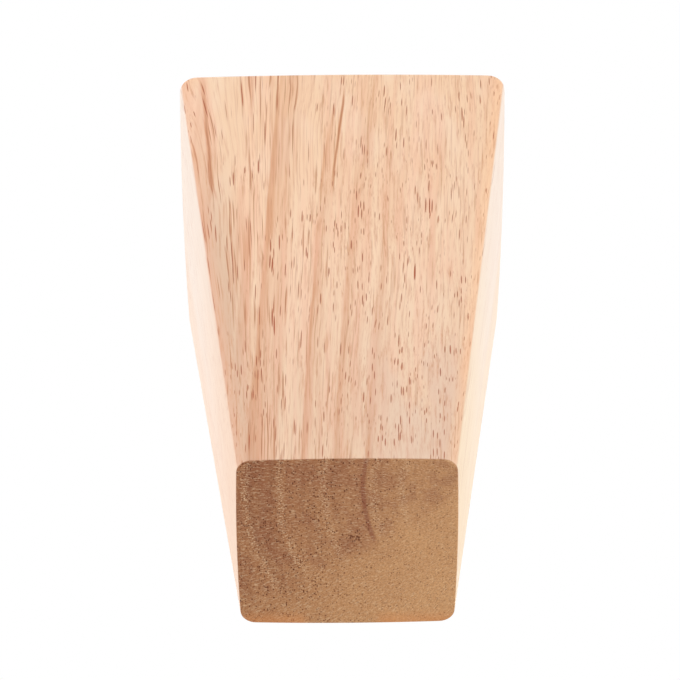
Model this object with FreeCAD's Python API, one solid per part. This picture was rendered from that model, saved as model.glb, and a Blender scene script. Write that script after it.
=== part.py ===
import FreeCAD, Part
import math
import os

# A short tapered furniture leg: one sawn and sanded block of wood that narrows
# from a square top to a smaller square foot, with a steel hanger bolt screwed into
# the middle of its top. The foot rests on z = 0, and the origin is the foot's centre.
# All sizes are in millimetres.

# The wooden body. Widths are over the middle of the faces.
leg_height = 100.0
top_width = 64.0
foot_width = 39.0
top_corner_radius = 3.5
foot_corner_radius = 2.8
# Sanding leaves each long face fuller along its middle than at its two edges.
top_face_crown = 0.5
foot_face_crown = 0.4
# The sawn ends have only their sharp edge taken off.
top_arris = 0.4
foot_arris = 0.3

# The hanger bolt: a machine thread above the top face, a plain shank that centres it
# in the wood, and a pointed wood screw below. The threads are their outer or core
# cylinders here.
stud_diameter = 8.0
stud_length = 25.0
stud_tip_chamfer = 0.9
shank_diameter = 7.2
shank_length = 6.0
screw_core_diameter = 5.6
screw_length = 29.0
screw_point_length = 6.0
screw_point_diameter = 1.2

# The drilled and stepped hole that takes the bolt
shank_clearance = 0.05
pilot_clearance = 0.05
drill_run_on = 2.0
drill_point_angle = 118.0
mouth_chamfer = 0.8


def crowned_square(width, corner_radius, crown, height):
    """Closed outline of a square with bowed sides and round corners, at one height.

    A side is an arc that reaches half the width at its middle and falls back by the
    crown at the square's corners. A corner is an arc that is tangent to two sides.
    """
    half = width / 2
    side_radius = (half**2 + crown**2) / (2 * crown)
    side_centre = half - side_radius
    reach = side_radius - corner_radius
    # The corner's centre lies on the diagonal, where it is the reach away from the
    # centres of both sides.
    corner_centre = (side_centre + math.sqrt(2 * reach**2 - side_centre**2)) / 2
    stretch = side_radius / reach
    tangent_x = side_centre + (corner_centre - side_centre) * stretch
    tangent_y = corner_centre * stretch
    corner_middle = corner_centre + corner_radius * math.sqrt(0.5)

    edges = []
    for quarter in range(4):
        turn = FreeCAD.Rotation(FreeCAD.Vector(0, 0, 1), 90 * quarter)

        def point(x, y, turn=turn):
            return turn.multVec(FreeCAD.Vector(x, y, height))

        side_end = point(tangent_x, tangent_y)
        side = Part.Arc(point(tangent_x, -tangent_y), point(half, 0), side_end)
        corner = Part.Arc(side_end, point(corner_middle, corner_middle), point(tangent_y, tangent_x))
        edges += [side.toShape(), corner.toShape()]
    return Part.Wire(edges)


def revolved(profile):
    """Solid of revolution about the Z axis from its (radius, z) corners."""
    points = [FreeCAD.Vector(radius, 0, z) for radius, z in profile]
    outline = Part.makePolygon(points + points[:1])
    return Part.Face(outline).revolve(FreeCAD.Vector(0, 0, 0), FreeCAD.Vector(0, 0, 1), 360)


def bolt_hole():
    """Space that the drill leaves: mouth chamfer, shank bore, pilot bore and drill point."""
    shank_bore = shank_diameter / 2 + shank_clearance
    pilot_bore = screw_core_diameter / 2 + pilot_clearance
    shoulder = leg_height - shank_length
    pilot_end = shoulder - screw_length - drill_run_on
    point_depth = pilot_bore / math.tan(math.radians(drill_point_angle / 2))
    # The cutting tool runs on above the top face at the chamfer's slope.
    above = leg_height + mouth_chamfer
    return revolved([
        (0, pilot_end - point_depth),
        (pilot_bore, pilot_end),
        (pilot_bore, shoulder),
        (shank_bore, shoulder),
        (shank_bore, leg_height - mouth_chamfer),
        (shank_bore + 2 * mouth_chamfer, above),
        (0, above),
    ])


def leg_body():
    """The block: outlines at the two ends and just inside them, joined by straight lines."""
    foot_edge = crowned_square(
        foot_width - 2 * foot_arris, foot_corner_radius - foot_arris, foot_face_crown, 0
    )
    foot = crowned_square(foot_width, foot_corner_radius, foot_face_crown, foot_arris)
    top = crowned_square(top_width, top_corner_radius, top_face_crown, leg_height - top_arris)
    top_edge = crowned_square(
        top_width - 2 * top_arris, top_corner_radius - top_arris, top_face_crown, leg_height
    )
    block = Part.makeLoft([foot_edge, foot, top, top_edge], True, True)
    return block.cut(bolt_hole())


def hanger_bolt():
    """The bolt, turned about the leg's axis, with its shoulder on the hole's step."""
    stud = stud_diameter / 2
    shank = shank_diameter / 2
    core = screw_core_diameter / 2
    stud_end = leg_height + stud_length
    shoulder = leg_height - shank_length
    screw_end = shoulder - screw_length
    return revolved([
        (0, screw_end),
        (screw_point_diameter / 2, screw_end),
        (core, screw_end + screw_point_length),
        (core, shoulder),
        (shank, shoulder),
        (shank, leg_height),
        (stud, leg_height + stud - shank),
        (stud, stud_end - stud_tip_chamfer),
        (stud - stud_tip_chamfer, stud_end),
        (0, stud_end),
    ])


os.makedirs("parts", exist_ok=True)
pieces = {"leg_body": leg_body(), "hanger_bolt": hanger_bolt()}
for node, shape in pieces.items():
    shape.exportStep(f"parts/{node}.step")
    print(node, "valid", shape.isValid(), "solids", len(shape.Solids), "volume", round(shape.Volume, 1))
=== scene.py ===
import math

import bpy
import numpy as np
from mathutils import Matrix, Vector


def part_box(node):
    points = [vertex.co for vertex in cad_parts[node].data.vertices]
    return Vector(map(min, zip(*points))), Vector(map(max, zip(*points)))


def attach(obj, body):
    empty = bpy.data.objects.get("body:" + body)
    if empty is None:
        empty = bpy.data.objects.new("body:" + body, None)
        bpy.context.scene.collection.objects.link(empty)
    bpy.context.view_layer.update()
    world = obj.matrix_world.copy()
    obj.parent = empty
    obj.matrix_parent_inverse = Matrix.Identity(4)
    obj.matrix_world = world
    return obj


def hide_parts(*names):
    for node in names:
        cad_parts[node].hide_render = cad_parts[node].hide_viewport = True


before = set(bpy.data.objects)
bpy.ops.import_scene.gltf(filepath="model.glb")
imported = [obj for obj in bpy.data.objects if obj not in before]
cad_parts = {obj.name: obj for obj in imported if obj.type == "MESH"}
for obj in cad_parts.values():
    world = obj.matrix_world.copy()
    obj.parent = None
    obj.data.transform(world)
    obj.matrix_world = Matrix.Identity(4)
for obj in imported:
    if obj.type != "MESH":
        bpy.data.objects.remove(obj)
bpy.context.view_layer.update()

# A short tapered furniture leg in bare wood, with a hanger bolt in its top. The camera looks
# up at it from its foot's end. Sizes are in millimetres here and become metres where a mesh
# or a lamp is made.
MM = 0.001
body_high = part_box("leg_body")[1]
bolt_low, bolt_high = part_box("hanger_bolt")

# The wooden body
leg_height = body_high.z / MM
top_width = 2 * body_high.x / MM
foot_width = 39.0
top_corner_radius = 3.5
foot_corner_radius = 2.8
top_face_crown = 0.5
foot_face_crown = 0.4
top_arris = 0.4
foot_arris = 0.3

# The hanger bolt and its hole
stud_radius = bolt_high.x / MM
stud_end = bolt_high.z / MM
screw_end = bolt_low.z / MM
shank_radius = 3.6
shank_length = 6.0
core_radius = 2.8
point_radius = 0.6
point_length = 6.0
tip_chamfer = 0.9
hole_clearance = 0.05
drill_run_on = 2.0
drill_point_angle = 118.0
mouth_chamfer = 0.8

# The threads. A crest, flank or ridge is given as a share of half the pitch. The screw's
# ridge fades in below the shank, over a length that starts at a small gap.
thread_pitch = 1.25
thread_depth = 0.72
thread_crest_share = 0.12
thread_flank_share = 0.62
screw_pitch = 3.2
screw_crest_radius = 3.85
screw_ridge_share = 0.3
screw_ridge_gap = 1.5
screw_ridge_fade = 3.0

# The photograph's camera, as an angle to the leg, and the point that it looks at
camera_azimuth = math.radians(-0.32)
camera_elevation = math.radians(-51.4)
camera_roll = math.radians(-0.68)
camera_distance = 605.0
camera_focal_length = 170.2
camera_near_limit = 10.0
aim_to_the_left = 0.92
aim_up = 4.55


def paint(red, green, blue):
    """Linear colour for a screen colour given as three numbers from 0 to 255."""
    share = np.array([red, green, blue]) / 255
    linear = np.where(share <= 0.04045, share / 12.92, ((share + 0.055) / 1.055) ** 2.4)
    return (*map(float, linear), 1.0)


class Value:
    """A shader socket that Python arithmetic works on. Each operation adds a Math node."""

    def __init__(self, recipe, socket):
        self.recipe = recipe
        self.socket = socket

    def math(self, operation, *others):
        return self.recipe.math(operation, self, *others)

    def __add__(self, other):
        return self.math("ADD", other)

    __radd__ = __add__

    def __sub__(self, other):
        return self.math("SUBTRACT", other)

    def __rsub__(self, other):
        return self.recipe.math("SUBTRACT", other, self)

    def __mul__(self, other):
        return self.math("MULTIPLY", other)

    __rmul__ = __mul__

    def __truediv__(self, other):
        return self.math("DIVIDE", other)

    def __pow__(self, other):
        return self.math("POWER", other)

    def __abs__(self):
        return self.math("ABSOLUTE")


class Recipe:
    """One material or world, and the nodes that make it."""

    def __init__(self, owner):
        self.owner = owner
        owner.use_nodes = True
        self.tree = owner.node_tree
        self.tree.nodes.clear()

    def node(self, kind, inputs, output=0, **settings):
        """Adds a node: its settings first, then its sockets, each a number, colour or Value."""
        made = self.tree.nodes.new(kind)
        for name, setting in settings.items():
            setattr(made, name, setting)
        for name, value in inputs.items():
            if isinstance(value, Value):
                self.tree.links.new(value.socket, made.inputs[name])
            else:
                made.inputs[name].default_value = value
        if made.outputs:
            return Value(self, made.outputs[output])
        return made

    def math(self, operation, *values):
        return self.node("ShaderNodeMath", dict(enumerate(values)), operation=operation)

    def larger(self, first, second):
        return self.math("MAXIMUM", first, second)

    def smaller(self, first, second):
        return self.math("MINIMUM", first, second)

    def ease(self, value, low, high):
        """0 below low, 1 above high and a smooth step between them."""
        sockets = {"Value": value, "From Min": low, "From Max": high}
        return self.node("ShaderNodeMapRange", sockets, interpolation_type="SMOOTHSTEP")

    def mix(self, share, first, second):
        """The first colour where the share is 0, the second where it is 1, a blend between."""
        sockets = {0: share, 6: first, 7: second}
        return self.node("ShaderNodeMix", sockets, 2, data_type="RGBA")

    def place(self):
        """The point on the piece in millimetres, as three Values."""
        metres = self.node("ShaderNodeTexCoord", {}, "Object")
        sockets = {0: metres, "Scale": 1 / MM}
        return self.split(self.node("ShaderNodeVectorMath", sockets, operation="SCALE"))

    def split(self, vector):
        """The three parts of a vector or colour."""
        first = self.node("ShaderNodeSeparateXYZ", {0: vector})
        return [Value(self, socket) for socket in first.socket.node.outputs]

    def join(self, x, y, z):
        return self.node("ShaderNodeCombineXYZ", {0: x, 1: y, 2: z})

    def noise(self, x, y, z, detail=2.0, roughness=0.5, output=0):
        """Cloudy noise about 0.5 whose blobs are one unit of x, y and z across."""
        sockets = {
            "Vector": self.join(x, y, z),
            "Scale": 1.0,
            "Detail": detail,
            "Roughness": roughness,
        }
        return self.node("ShaderNodeTexNoise", sockets, output)

    def cells(self, x, y, z):
        """Distance to the nearest of many scattered points, and that point's random number."""
        sockets = {"Vector": self.join(x, y, z), "Scale": 1.0}
        distance = self.node("ShaderNodeTexVoronoi", sockets, "Distance")
        colour = Value(self, distance.socket.node.outputs["Color"])
        return distance, self.split(colour)[0]

    def surface(self, shader):
        self.node("ShaderNodeOutputMaterial", {"Surface": shader})
        return self.owner


# The growth rings run round a pith that lies outside the leg, to the right of its front
# face, and leans away from the leg as it goes up.
pith_x = 37.0
pith_y = -12.5
pith_lean = 0.02

# How far slow noise moves the rings and the fibres from their even course
ring_wander = 1.2
fibre_wander = 2.5

# The depth of the finest relief, which only bends the light
wood_relief = 0.05
steel_relief = 0.02

# The fibres lean to the right and towards the front as they go up. At the left they lean
# forwards more, so that the front face cuts them at a flatter angle.
fibre_lean = 0.04
fibre_dive = 0.02
left_fibre_dive = 0.045

# The clearest growth lines: distance from the pith, width of the darker wood inside the line
# and its strength, which is below zero where that wood is paler
growth_lines = (
    (25.8, 1.5, 0.35),
    (30.4, 2.5, -0.5),
    (34.4, 2.0, 0.55),
    (39.6, 2.4, 0.6),
    (45.2, 2.4, 0.5),
    (49.2, 3.0, -0.8),
    (54.4, 7.0, 1.1),
    (58.6, 2.0, -0.5),
    (64.5, 3.5, -1.0),
    (69.0, 4.0, 0.6),
)
# Long marks in the front face: where one crosses half the leg's height, its lean, its low
# and high end, its width and its strength. They leave the growth lines, and a strength
# below zero is a paler mark. An end beyond the leg lets the mark run out at full strength.
front_marks = (
    (-22.5, -0.1, 62, 101, 0.7, 1.5),
    (-17.5, -0.09, 66, 120, 5.5, -0.9),
    (-18.0, -0.03, -10, 62, 3.0, 0.45),
    (-13.6, 0.005, 50, 110, 1.4, 0.5),
    (-8.6, 0.045, -20, 120, 2.5, -0.65),
    (-5.4, 0.05, -10, 62, 0.4, 0.7),
    (-4.6, 0.06, -10, 70, 1.6, 0.18),
    (-5.9, 0.1, 60, 96, 0.6, 0.6),
    (-3.1, 0.067, 64, 100, 0.4, 1.9),
    (1.5, 0.075, -10, 75, 1.6, 0.22),
    (1.6, 0.1, 68, 110, 1.2, 0.55),
    (7.9, 0.085, -10, 22, 0.9, 0.6),
    (7.9, 0.085, 10, 70, 1.4, 0.22),
    (14.0, 0.08, -20, 48, 6.5, -0.5),
    (9.0, 0.1, 76, 120, 6.0, -0.35),
    (21.5, 0.12, 60, 120, 4.0, -0.25),
)
# How far a long mark takes to fade out at its ends
mark_fade = 10

# Spots of the front face, as x and z, where dark pores crowd together
pore_spots = (
    (-18.5, 58), (-15.3, 39), (-15.0, 24), (-16.8, 16), (-16.6, 4), (-13.0, 50), (3.8, 64),
    (16.0, 62), (12.5, 46), (-5.8, 51), (20.5, 37), (9.5, 25), (-12.5, 34),
)
# Rings of pale specks on the foot, by their distance from the pith
speck_rings = (27.5, 32.6, 41.2, 48.8, 54.8)
# The foot's reddest line stops beside a small knot.
red_line = 34.4
knot_x = 1.3
knot_y = -1.3

# Colours of the long faces
front_light = paint(255, 221, 190)
front_dark = paint(228, 171, 134)
front_pink = paint(255, 203, 175)
front_haze = paint(244, 216, 194)
front_gold = paint(250, 205, 162)
# The dull colour also serves as painted shade along the front's left edge.
front_dull_and_shade = paint(206, 171, 146)
# The rims' colours are painted shade on the rounded corners, darker where the rounding turns from
# the lamps.
left_rim_shade = paint(220, 164, 136)
right_rim_shade = paint(250, 196, 150)
# The side faces' pale colours are partly their own tone and partly painted light from the strong
# side lamps.
pale_high = paint(255, 242, 230)
pale_left_foot = paint(252, 222, 198)
pale_right_foot = paint(254, 233, 202)
fibre_colour = paint(216, 150, 110)
vein_colour = paint(194, 122, 80)
pore_colour = paint(180, 92, 54)

# Colours of the sawn ends. Their browns are the darker end grain, and also hold some painted shade
# of the foot's end.
end_dark = paint(163, 108, 71)
end_light = paint(211, 159, 109)
end_line = paint(122, 68, 42)
end_red = paint(138, 76, 54)
end_pore = paint(88, 36, 16)
end_ray = paint(242, 210, 170)
end_orange = paint(216, 140, 84)


def growth_tone(wood, ring):
    """Each growth line darkens outwards up to its sharp edge and starts again pale."""
    tone = 0.0
    for radius, width, strength in growth_lines:
        inside = wood.ease(ring, radius - width, radius)
        late = inside**2 * wood.ease(ring, radius + 0.5, radius - 0.1)
        early = wood.ease(ring, radius, radius + 0.7) * wood.ease(ring, radius + 3, radius + 0.8)
        tone = tone + (late - early * 0.5) * strength
    return tone


def mark_tone(wood, x, z):
    """Sum of the front's long marks, each soft across its width and fading at its ends."""
    tone = 0.0
    for middle, lean, low, high, width, strength in front_marks:
        beside = abs(x - (z - leg_height / 2) * lean - middle)
        along = wood.ease(z, low, low + mark_fade) * wood.ease(z, high, high - mark_fade)
        tone = tone + wood.ease(beside, width, 0) * along * strength
    return tone


def spot_share(wood, x, z):
    """1 in the middle of each pore spot, which is about three times as long as it is wide."""
    share = 0.0
    for spot_x, spot_z in pore_spots:
        beside = x - spot_x
        along = (z - spot_z) * 0.3
        share = share + wood.ease(beside * beside + along * along, 2.2, 0.2)
    return share


class Grain:
    """The wood as one solid pattern, which every face cuts through.

    Pores and fibres are tubes that run along the leg. A tapered face cuts them at a slant,
    which makes dashes and streaks there, and the ends cut them square, which makes dots.
    """

    def __init__(self, wood):
        self.wood = wood
        self.place = wood.place()
        self.find_faces()
        self.grow_rings()
        self.run_fibres()
        self.draw_front_marks()
        self.scatter_pores()

    def find_faces(self):
        """Shares that are 1 at the ends, on the two side faces and near the front face."""
        wood = self.wood
        x, y, z = self.place
        self.at_end = wood.larger(
            wood.ease(z, foot_arris, foot_arris * 0.2),
            wood.ease(z, leg_height - top_arris, leg_height - top_arris * 0.2),
        )
        # The way round a corner is -1 where the front or back ends and 1 where a side begins.
        corner_growth = (top_corner_radius - foot_corner_radius) / leg_height
        self.round_corner = (abs(x) - abs(y)) / (foot_corner_radius + z * corner_growth)
        self.at_side = wood.ease(self.round_corner, 0.35, 0.68) * (1 - self.at_end)
        self.in_front = wood.ease(y, -10, -15)

    def grow_rings(self):
        """Growth rings about the pith, as distance and turn, with their lines and thin sheets."""
        wood = self.wood
        x, y, z = self.place
        self.wander = wood.split(wood.noise(x * 0.06, y * 0.06, z * 0.025, output="Color"))
        from_pith = (pith_x + z * pith_lean) - x + (self.wander[0] - 0.5) * ring_wander
        beside_pith = y - pith_y + (self.wander[1] - 0.5) * ring_wander
        self.ring = (from_pith * from_pith + beside_pith * beside_pith) ** 0.5
        self.turn = wood.math("ARCTAN2", beside_pith, from_pith)
        self.lines = growth_tone(wood, self.ring)
        self.sheets = wood.noise(
            self.ring * 1.1, self.turn * 4.0, z * 0.012, detail=4.0, roughness=0.65
        )

    def run_fibres(self):
        """Fibres, the bundles that they form, and slow patches.

        A fibre is noise that is far longer along the leg than across it. Going up, the
        fibres fan out to the left, and bend forwards in the upper part of the front.
        """
        wood = self.wood
        x, y, z = self.place
        off_middle = wood.smaller(x - 3, 0) * 0.05
        right_lean = self.at_side * wood.ease(x, -5, 5) * 0.09
        lean = fibre_lean - off_middle * off_middle * 0.065 + right_lean
        self.at_left = wood.ease(x, 4, -12)
        dive = fibre_dive + self.at_left * left_fibre_dive
        rise = wood.larger(z - 40, 0)
        bend = rise * rise * wood.ease(y, 10, -10) * 0.0004
        half_height = leg_height / 2
        self.across = x - lean * (z - half_height) + (self.wander[1] - 0.5) * fibre_wander
        self.deep = y + dive * z + bend + (self.wander[2] - 0.5) * fibre_wander
        self.fibres = wood.noise(
            self.across * 2.5, self.deep * 1.9, z * 0.025, detail=3.0, roughness=0.75
        )
        self.bundles = wood.noise(self.across * 0.6, self.deep * 0.4, z * 0.007, detail=3.0)
        self.mottle = wood.noise(x * 0.13, y * 0.13, z * 0.05, detail=3.0)

    def draw_front_marks(self):
        """The front's long marks. Where they are pale the wood is calm, with fainter veins."""
        x, _, z = self.place
        bent = x + (self.wander[0] - 0.5) * 1.5 + (self.mottle - 0.5) * 1.2
        self.drawn = mark_tone(self.wood, bent, z) * self.in_front
        self.calm = self.wood.ease(self.drawn, -0.4, -1.0)

    def scatter_pores(self):
        """Pores, each with its own width, which crowd together in places."""
        wood = self.wood
        x, _, z = self.place
        self.distance, self.chance = wood.cells(self.across * 2.6, self.deep * 2.2, z * 0.04)
        crowd = wood.noise(self.across * 0.3, self.deep * 0.3, z * 0.06)
        self.spots = spot_share(wood, x, z) * self.in_front
        self.pore_size = 0.11 + self.chance * 0.22 + (crowd - 0.5) * 0.5 + self.spots * 0.13
        self.pores = wood.ease(self.distance, self.pore_size, self.pore_size - 0.13)


def face_ground(wood, grain):
    """The long faces' own colour: from the palest to the darkest wood, in long streaks."""
    z = grain.place[2]
    tone = grain.lines * 0.5 + (grain.sheets - 0.5) * 1.2
    tone = tone + (grain.bundles - 0.5) * 1.0 + (grain.mottle - 0.5) * 0.5
    tone = tone + grain.drawn * (0.6 + grain.fibres * 0.8) + wood.ease(z, 100, 0) * 0.08 + 0.13
    return wood.mix(tone, front_light, front_dark)


def face_patches(wood, grain, colour):
    """Pink bundles, haze at the foot's right, gold towards the top, a duller colour towards the
    foot, and painted shade along the front's left edge.
    """
    x, y, z = grain.place
    colour = wood.mix(wood.ease(grain.bundles, 0.4, 0.65) * 0.4, colour, front_pink)
    haze = wood.ease(grain.mottle, 0.4, 0.55) * wood.ease(z, 50, 10) * wood.ease(x, -2, 12)
    colour = wood.mix(haze * 0.6, colour, front_haze)
    golden = wood.ease(z, 30, 95) * wood.ease(grain.mottle, 0.35, 0.55)
    colour = wood.mix(golden * 0.35, colour, front_gold)
    dull = wood.ease(z, 55, 0) * (1 - grain.calm) * 0.24
    half_width = foot_width / 2 + z * ((top_width - foot_width) / 2 / leg_height)
    # Painted shade: the front face darkens near its left edge, fading out towards the top.
    left_edge_shade = wood.ease(x / half_width, -0.65, -0.92) * wood.ease(z, 90, 50)
    left_edge_shade = left_edge_shade * wood.ease(y, -14, -18)
    return wood.mix(wood.larger(dull, left_edge_shade * 0.5), colour, front_dull_and_shade)


def face_sides(wood, grain, colour):
    """Painted shade as darker warm rims along the rounded corners, and the two side faces painted
    paler, palest high up in front: partly their own tone, partly painted light from the side
    lamps.
    """
    x, y, z = grain.place
    at_right = wood.ease(x, -5, 5)
    # Painted shade: a darker warm band on each rounded corner.
    rim_shade = wood.mix(at_right, left_rim_shade, right_rim_shade)
    colour = wood.mix(wood.ease(grain.round_corner, -1.1, 0.2) * 0.45, colour, rim_shade)
    # Painted light: the side faces are painted paler, most of all high up and in front.
    pale_foot = wood.mix(at_right, pale_left_foot, pale_right_foot)
    painted_light_share = wood.ease(z, 0, 85) * (1 - wood.ease(y, 4, 15) * 0.45)
    pale_side_and_painted_light = wood.mix(painted_light_share, pale_foot, pale_high)
    return wood.mix(grain.at_side * 0.85, colour, pale_side_and_painted_light)


def face_marks(wood, grain, colour):
    """Fibres, veins and pores, which are fainter on the side faces and in calm wood."""
    z = grain.place[2]
    off_side = 1 - grain.at_side
    vein_noise = wood.noise(grain.across * 2.8, grain.deep * 0.6, z * 0.06 + 5.3)
    veins = wood.ease(vein_noise, 0.57, 0.7) * (0.4 + grain.at_left * 0.6) * off_side
    dark_marks = wood.ease(grain.drawn * (grain.fibres + 0.5), 0.6, 2.0) * off_side
    veins = wood.larger(veins * (1 - grain.calm * 0.8), dark_marks)
    marks = (1 - grain.at_side * 0.6) * (1 - grain.calm * 0.4)
    colour = wood.mix(wood.ease(grain.fibres, 0.45, 0.72) * marks * 0.55, colour, fibre_colour)
    colour = wood.mix(veins * marks * 0.8, colour, vein_colour)
    return wood.mix(grain.pores * marks * (grain.spots * 0.15 + 0.83), colour, pore_colour)


def face_colour(wood, grain):
    """The four long faces, from their ground up to the fine marks on top of it."""
    colour = face_patches(wood, grain, face_ground(wood, grain))
    return face_marks(wood, grain, face_sides(wood, grain, colour))


def end_ground(wood, grain, ringed):
    """Brown wood that is darker to the left, with reddish stains and the growth lines."""
    x, y, _ = grain.place
    lit_share = wood.ease(x * 0.81 + y * 0.42, -26, 22) + (grain.mottle - 0.5) * 0.6
    # The end's ground brown: its own darker end grain, partly painted shade.
    colour = wood.mix(lit_share, end_dark, end_light)
    stain = wood.noise(grain.ring * 0.3, grain.turn * 7, 3.0)
    colour = wood.mix(ringed * (wood.ease(stain, 0.45, 0.6) * 0.28 + 0.08), colour, end_red)
    tone = (grain.lines * 0.22 + (grain.sheets - 0.45) * 0.9) * (ringed * 0.8 + 0.2)
    return wood.mix(tone, colour, end_line)


def end_red_wood(wood, grain, from_knot, colour):
    """The red line, the redder wood just outside it and a blotch round the knot."""
    y = grain.place[1]
    ring = grain.ring
    at_line = wood.ease(abs(ring - red_line), 0.75, 0.1) * wood.ease(y, 1.0, -2)
    outside = wood.ease(ring, red_line + 3, red_line) * wood.ease(ring, red_line - 0.5, red_line)
    outside = outside * wood.ease(y, 3, -5) * 0.35
    blotch = wood.ease(from_knot + grain.mottle * 5, 7.5, 3) * 0.3
    share = wood.larger(wood.larger(at_line * 0.75, outside), blotch)
    return wood.mix(share, colour, end_red)


def end_specks(wood, grain, ringed, colour):
    """Pale rays from the pith, fine dust across them and the dots of the cut fibres.

    The dust is pale in the speck rings and dark elsewhere.
    """
    ring, turn = grain.ring, grain.turn
    rays = wood.noise(ring * 0.8, turn * 130, 1.0, roughness=0.7)
    colour = wood.mix(wood.ease(rays, 0.48, 0.72) * 0.45, colour, end_ray)
    dust = wood.noise(ring * 2.4, turn * 260, 2.0, roughness=0.7)
    early = 0.0
    for radius in speck_rings:
        early = early + wood.ease(abs(ring - radius), 1.1, 0.1)
    pale_specks = wood.ease(dust, 0.46, 0.36) * (early * ringed * 0.7 + 0.2)
    colour = wood.mix(pale_specks, colour, end_ray)
    colour = wood.mix(wood.ease(dust, 0.48, 0.7) * 0.5, colour, end_line)
    return wood.mix(wood.ease(grain.fibres, 0.42, 0.68) * 0.3, colour, end_line)


def end_pores(wood, grain, from_knot, colour):
    """Open pores, which are larger towards the left and at the knot."""
    x, y, _ = grain.place
    at_left = wood.ease(x * 0.7 + y * 0.2, 12, -6)
    at_knot = wood.ease(from_knot, 1.6, 0.4)
    size = grain.pore_size + 0.07 + at_left * 0.09 + at_knot * 0.25
    shown = wood.ease(grain.chance + at_knot * 0.3, 0.5, 0.95)
    pores = wood.ease(grain.distance, size, size - 0.14) * shown
    return wood.mix(pores * (at_left * 0.4 + 0.5), colour, end_pore)


def end_back_edge(wood, grain, colour):
    """A soft orange along the foot's back edge, on both sides of its middle."""
    x, y, z = grain.place
    beside_middle = wood.ease(abs(x + 1), 5, 8) * wood.ease(z, 2, 1)
    return wood.mix(wood.ease(y, 15.5, 19.5) * beside_middle * 0.5, colour, end_orange)


def end_colour(wood, grain):
    """The sawn ends. The growth rings show clearly only in front and to the left."""
    x, y, _ = grain.place
    ringed = wood.ease(x * 0.7 + y, 5.0, 0.0)
    from_knot = ((x - knot_x) * (x - knot_x) + (y - knot_y) * (y - knot_y)) ** 0.5
    colour = end_ground(wood, grain, ringed)
    colour = end_red_wood(wood, grain, from_knot, colour)
    colour = end_specks(wood, grain, ringed, colour)
    colour = end_pores(wood, grain, from_knot, colour)
    return end_back_edge(wood, grain, colour)


def bare_wood():
    """Sanded wood without varnish. The sawn ends are rougher than the long faces."""
    wood = Recipe(bpy.data.materials.new("bare_wood"))
    grain = Grain(wood)
    colour = wood.mix(grain.at_end, face_colour(wood, grain), end_colour(wood, grain))
    height = grain.fibres * 0.3 - grain.pores
    relief = {"Strength": 0.3, "Distance": wood_relief * MM, "Height": height}
    bump = wood.node("ShaderNodeBump", relief)
    roughness = 0.62 + grain.at_end * 0.18 + (grain.fibres - 0.5) * 0.15
    shader = wood.node(
        "ShaderNodeBsdfPrincipled",
        {"Base Color": colour, "Roughness": roughness, "Normal": bump, "Specular IOR Level": 0.25},
    )
    return wood.surface(shader)


def plated_steel():
    """Bright zinc plate with faint rubbing marks along the thread."""
    steel = Recipe(bpy.data.materials.new("plated_steel"))
    x, y, z = steel.place()
    cloud = steel.noise(x * 0.6, y * 0.6, z * 0.6, detail=4.0, roughness=0.6)
    marks = steel.noise(x * 2.0, y * 2.0, z * 9.0, detail=3.0)
    colour = steel.mix(cloud, paint(158, 161, 167), paint(196, 197, 198))
    roughness = 0.26 + cloud * 0.14 + (marks - 0.5) * 0.1
    relief = {"Strength": 0.25, "Distance": steel_relief * MM, "Height": marks}
    bump = steel.node("ShaderNodeBump", relief)
    shader = steel.node(
        "ShaderNodeBsdfPrincipled",
        {"Base Color": colour, "Roughness": roughness, "Normal": bump, "Metallic": 1.0},
    )
    return steel.surface(shader)


# How finely the body is divided: points for each side and corner of an outline, and steps
# round an arris
side_points = 20
corner_points = 8
arris_steps = 4
# Where its rings of points lie, as shares of the way out over the foot, up the long faces
# and in over the top
foot_ring_shares = (0.3, 0.6, 0.85, 0.97)
face_ring_shares = (0.004, 0.01, *np.linspace(0.025, 0.975, 39), 0.99, 0.996)
top_ring_shares = (0.02, 0.1, 0.4, 0.7, 0.95, 1)

# How finely the bolt is divided. Two rings that are a hair apart make a square step.
bolt_sides = 64
screw_ring_gap = 0.16
rings_for_a_pitch = 12
hair = 0.001

# Faces that meet at more than this angle keep a sharp edge between them.
sharp_angle = math.radians(35)


def crowned_square(width, corner_radius, crown):
    """Points round a square with bowed sides and round corners, as an (n, 2) array.

    A side is an arc about a centre far behind it, which lets it fall back by the crown
    at the square's corners. A corner is an arc about a centre on the diagonal, tangent
    to both sides. One quarter is worked out and turned three times.
    """
    half = width / 2
    side_radius = (half**2 + crown**2) / (2 * crown)
    side_centre = half - side_radius
    reach = side_radius - corner_radius
    corner_centre = (side_centre + math.sqrt(2 * reach**2 - side_centre**2)) / 2
    swing = math.atan2(corner_centre, corner_centre - side_centre)
    side = np.linspace(-swing, swing, side_points, endpoint=False)
    corner = np.linspace(swing, math.pi / 2 - swing, corner_points, endpoint=False)
    x = np.concatenate([
        side_centre + side_radius * np.cos(side), corner_centre + corner_radius * np.cos(corner)
    ])
    y = np.concatenate([
        side_radius * np.sin(side), corner_centre + corner_radius * np.sin(corner)
    ])
    quarters = [(x, y), (-y, x), (-x, -y), (y, -x)]
    return np.concatenate([np.stack(quarter, axis=1) for quarter in quarters])


def level(outline, z):
    """An outline at one height, as an (n, 3) array."""
    return np.column_stack([outline, np.full(len(outline), z)])


def between(first, second, share):
    """An outline or number that is a share of the way from the first to the second."""
    return first + (second - first) * share


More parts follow.
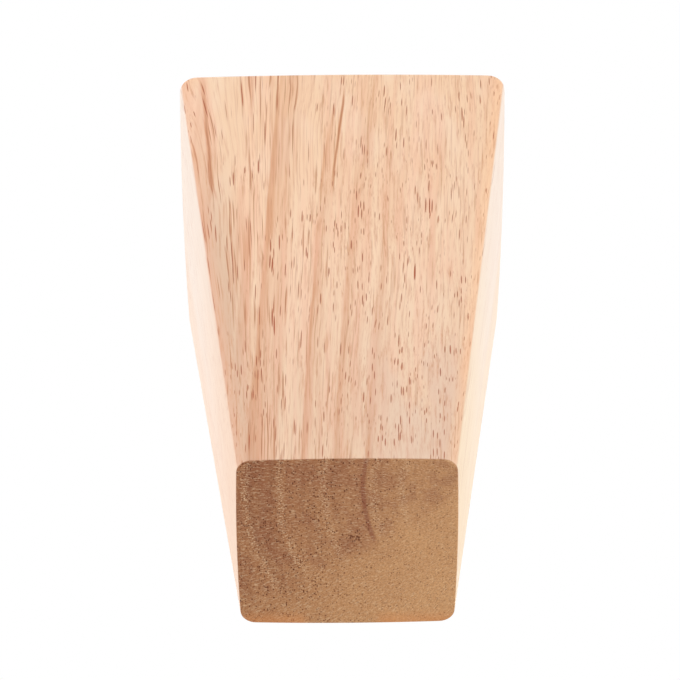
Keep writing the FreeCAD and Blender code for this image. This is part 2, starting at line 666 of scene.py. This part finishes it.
def ring_mesh(name, rings, low_pole, high_pole):
    """Closed mesh through rings of points, from the first to the last, with a pole at each end.

    The rings are an (m, n, 3) array in millimetres, anticlockwise seen from above. Each
    pair of neighbours is joined by four-sided faces, and each pole by a fan of triangles.
    """
    count, around = rings.shape[:2]
    points = np.concatenate([rings.reshape(-1, 3), [low_pole], [high_pole]]) * MM
    step = np.arange(around)
    after = (step + 1) % around
    start = np.arange(count - 1)[:, None] * around
    quads = np.stack(
        [start + step, start + after, start + around + after, start + around + step], axis=2
    )
    last = (count - 1) * around
    low_fan = np.stack([np.full(around, count * around), after, step], axis=1)
    high_fan = np.stack([np.full(around, count * around + 1), last + step, last + after], axis=1)
    faces = quads.reshape(-1, 4).tolist() + low_fan.tolist() + high_fan.tolist()
    mesh = bpy.data.meshes.new(name)
    mesh.from_pydata(points.tolist(), [], faces)
    mesh.shade_smooth()
    mesh.set_sharp_from_angle(angle=sharp_angle)
    piece = bpy.data.objects.new(name, mesh)
    bpy.context.scene.collection.objects.link(piece)
    return piece


def quarter_round(outside, inside, z_outside, z_inside):
    """Rings that round an edge: from the outside outline at one height to the inside one.

    The share goes from 0 to 1. Sideways it follows one minus the cosine of a quarter
    turn, and in height the sine, which is a quarter of an ellipse.
    """
    turn = np.linspace(0, math.pi / 2, arris_steps + 1)
    return [
        level(between(outside, inside, sideways), between(z_outside, z_inside, upright))
        for sideways, upright in zip(1 - np.cos(turn), np.sin(turn))
    ]


def circle_like(outline, radius):
    """Points on a circle in the same directions as the outline's points."""
    length = np.linalg.norm(outline, axis=1, keepdims=True)
    return outline / length * radius


def bolt_hole(top_edge):
    """Rings from the top's edge to the hole's mouth and down its steps, and its tip's height."""
    shank_bore = shank_radius + hole_clearance
    pilot_bore = core_radius + hole_clearance
    shoulder = leg_height - shank_length
    pilot_end = screw_end - drill_run_on
    mouth = circle_like(top_edge, shank_bore + mouth_chamfer)
    rings = [level(between(top_edge, mouth, share), leg_height) for share in top_ring_shares]
    for radius, z in (
        (shank_bore, leg_height - mouth_chamfer),
        (shank_bore, shoulder),
        (pilot_bore, shoulder),
        (pilot_bore, pilot_end),
    ):
        rings.append(level(circle_like(top_edge, radius), z))
    drill_tip = pilot_end - pilot_bore / math.tan(math.radians(drill_point_angle / 2))
    return rings, drill_tip


def make_body():
    """The block, from the middle of the foot out, up the faces, and down into the bolt's hole."""
    foot_edge = crowned_square(
        foot_width - 2 * foot_arris, foot_corner_radius - foot_arris, foot_face_crown
    )
    foot = crowned_square(foot_width, foot_corner_radius, foot_face_crown)
    top = crowned_square(top_width, top_corner_radius, top_face_crown)
    top_edge = crowned_square(
        top_width - 2 * top_arris, top_corner_radius - top_arris, top_face_crown
    )
    low, high = foot_arris, leg_height - top_arris
    rings = [level(foot_edge * share, 0) for share in foot_ring_shares]
    rings += quarter_round(foot, foot_edge, low, 0)[::-1]
    rings += [
        level(between(foot, top, share), between(low, high, share)) for share in face_ring_shares
    ]
    rings += quarter_round(top, top_edge, high, leg_height)
    hole_rings, drill_tip = bolt_hole(top_edge)
    piece = ring_mesh("leg", np.array(rings + hole_rings), (0, 0, 0), (0, 0, drill_tip))
    piece.data.materials.append(bare_wood())
    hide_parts("leg_body")
    return piece


def helix_wave(angle, z, pitch):
    """0 on the crest of a right-hand thread and 1 halfway between two crests."""
    phase = (z / pitch - angle / math.tau) % 1
    return np.abs(phase - 0.5) * 2


def machine_radius(angle, z):
    """Radius of the stud: flat on the thread's crest, an even slope, and flat in its root.

    Cones that rise from the shank and fall to the tip cut the thread off at its two ends.
    """
    fall = (helix_wave(angle, z, thread_pitch) - thread_crest_share) / thread_flank_share
    thread = stud_radius - thread_depth * np.clip(fall, 0, 1)
    lead_in = shank_radius + (z - leg_height)
    lead_out = stud_radius - tip_chamfer + (stud_end - z)
    return np.minimum(thread, np.minimum(lead_in, lead_out))


def screw_radius(angle, z, shoulder):
    """Radius of the wood screw: a thin ridge on a core that narrows evenly to the point."""
    narrowing = np.clip((z - screw_end) / point_length, 0, 1)
    core = between(point_radius, core_radius, narrowing)
    ridge = np.clip(1 - helix_wave(angle, z, screw_pitch) / screw_ridge_share, 0, 1)
    fade = narrowing * np.clip((shoulder - screw_ridge_gap - z) / screw_ridge_fade, 0, 1)
    return core + (screw_crest_radius - core_radius) * ridge * fade


def make_bolt():
    """The hanger bolt as a surface of radius over angle and height."""
    shoulder = leg_height - shank_length
    z = np.concatenate([
        np.arange(screw_end, shoulder, screw_ring_gap),
        [shoulder, shoulder + hair, leg_height - hair],
        np.arange(leg_height, stud_end, thread_pitch / rings_for_a_pitch),
        [stud_end],
    ])[:, None]
    angle = np.linspace(0, math.tau, bolt_sides, endpoint=False)[None, :]
    above_screw = np.where(z < leg_height, shank_radius, machine_radius(angle, z))
    radius = np.where(z <= shoulder, screw_radius(angle, z, shoulder), above_screw)
    rings = np.stack([radius * np.cos(angle), radius * np.sin(angle), z + 0 * angle], axis=2)
    piece = ring_mesh("bolt", rings, (0, 0, screw_end), (0, 0, stud_end))
    piece.data.materials.append(plated_steel())
    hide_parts("hanger_bolt")
    return piece


for piece in (make_body(), make_bolt()):
    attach(piece, "root")


# The studio. The floor lies just under the foot and turns plain white between two distances
# from the leg.
world_level = 0.5
floor_colour = paint(246, 246, 246)
floor_drop = 0.2
floor_reach = 3000.0
white_from = 150.0
white_at = 500.0

# The lamps are square and soft, and stand at one distance: azimuth and elevation in
# degrees, width, and the light that each adds to a white face turned towards it
lamp_distance = 900.0
lamps = {
    "front_lamp": (-10, 12, 700, 0.26),
    "foot_lamp": (0, -72, 600, 0.40),
    "left_lamp": (-95, 8, 700, 0.43),
    "right_lamp": (95, 8, 700, 0.46),
    "back_lamp": (180, 30, 700, 0.26),
    "top_lamp": (-20, 75, 500, 0.4),
}


def studio_floor():
    """Matt near the leg and plain white further away, and clear to a camera below it."""
    floor = Recipe(bpy.data.materials.new("studio_floor"))
    x, y, _ = floor.place()
    away = floor.ease((x * x + y * y) ** 0.5, white_from, white_at)
    matt = floor.node("ShaderNodeBsdfDiffuse", {"Color": floor_colour})
    white = floor.node("ShaderNodeEmission", {"Color": (1, 1, 1, 1), "Strength": 1.0})
    seen = floor.node("ShaderNodeMixShader", {0: away, 1: matt, 2: white})
    clear = floor.node("ShaderNodeBsdfTransparent", {})
    by_camera = floor.node("ShaderNodeLightPath", {}, "Is Camera Ray")
    from_below = floor.node("ShaderNodeNewGeometry", {}, "Backfacing")
    shown = by_camera * (1 - from_below)
    return floor.surface(floor.node("ShaderNodeMixShader", {0: shown, 1: clear, 2: seen}))


def make_floor():
    """One large square, which shows only from above. The photograph looks up from below."""
    reach, height = floor_reach * MM, -floor_drop * MM
    corners = [(-1, -1), (1, -1), (1, 1), (-1, 1)]
    points = [(x * reach, y * reach, height) for x, y in corners]
    mesh = bpy.data.meshes.new("floor")
    mesh.from_pydata(points, [], [(0, 1, 2, 3)])
    mesh.materials.append(studio_floor())
    piece = bpy.data.objects.new("floor", mesh)
    bpy.context.scene.collection.objects.link(piece)


def make_world():
    """Even soft light from all round, which looks plain white to the camera and in reflections."""
    scene = bpy.context.scene
    scene.world = bpy.data.worlds.new("studio")
    room = Recipe(scene.world)
    camera, glossy, clear = [
        room.node("ShaderNodeLightPath", {}, name)
        for name in ("Is Camera Ray", "Is Glossy Ray", "Is Transmission Ray")
    ]
    seen = room.larger(camera, room.larger(glossy, clear))
    strength = world_level + seen * (1 - world_level)
    sky = room.node("ShaderNodeBackground", {"Color": (1, 1, 1, 1), "Strength": strength})
    room.node("ShaderNodeOutputWorld", {"Surface": sky})


def towards(azimuth, elevation):
    """Direction from the leg to a lamp or the camera. Azimuth 0 is in front, 90 to the right."""
    return Vector((
        math.sin(azimuth) * math.cos(elevation),
        -math.cos(azimuth) * math.cos(elevation),
        math.sin(elevation),
    ))


def make_lamp(name, azimuth, elevation, width, light):
    """A square lamp aimed at the leg's middle.

    Its power is the light that it gives times the square of pi and of its distance.
    """
    direction = towards(math.radians(azimuth), math.radians(elevation))
    lamp = bpy.data.lights.new(name, "AREA")
    lamp.size = width * MM
    lamp.energy = light * (math.pi * lamp_distance * MM) ** 2
    holder = bpy.data.objects.new(name, lamp)
    holder.location = Vector((0, 0, leg_height / 2 * MM)) + direction * lamp_distance * MM
    holder.rotation_euler = direction.to_track_quat("Z", "Y").to_euler()
    bpy.context.scene.collection.objects.link(holder)


def make_camera():
    """The photograph's view: from the foot's end, looking up at the front face and the foot."""
    back = towards(camera_azimuth, camera_elevation)
    right = Vector((math.cos(camera_azimuth), math.sin(camera_azimuth), 0))
    up = back.cross(right)
    rolled_right = right * math.cos(camera_roll) + up * math.sin(camera_roll)
    rolled_up = up * math.cos(camera_roll) - right * math.sin(camera_roll)
    middle = Vector((0, 0, leg_height / 2))
    aim = middle - rolled_right * aim_to_the_left + rolled_up * aim_up
    camera = bpy.data.cameras.new("camera")
    camera.lens = camera_focal_length
    camera.clip_start = camera_near_limit * MM
    holder = bpy.data.objects.new("camera", camera)
    turn = Matrix((rolled_right, rolled_up, back)).transposed().to_4x4()
    holder.matrix_world = Matrix.Translation((aim + back * camera_distance) * MM) @ turn
    bpy.context.scene.collection.objects.link(holder)
    bpy.context.scene.camera = holder


make_floor()
make_world()
for name, settings in lamps.items():
    make_lamp(name, *settings)
make_camera()
bpy.context.scene.view_settings.view_transform = "Standard"
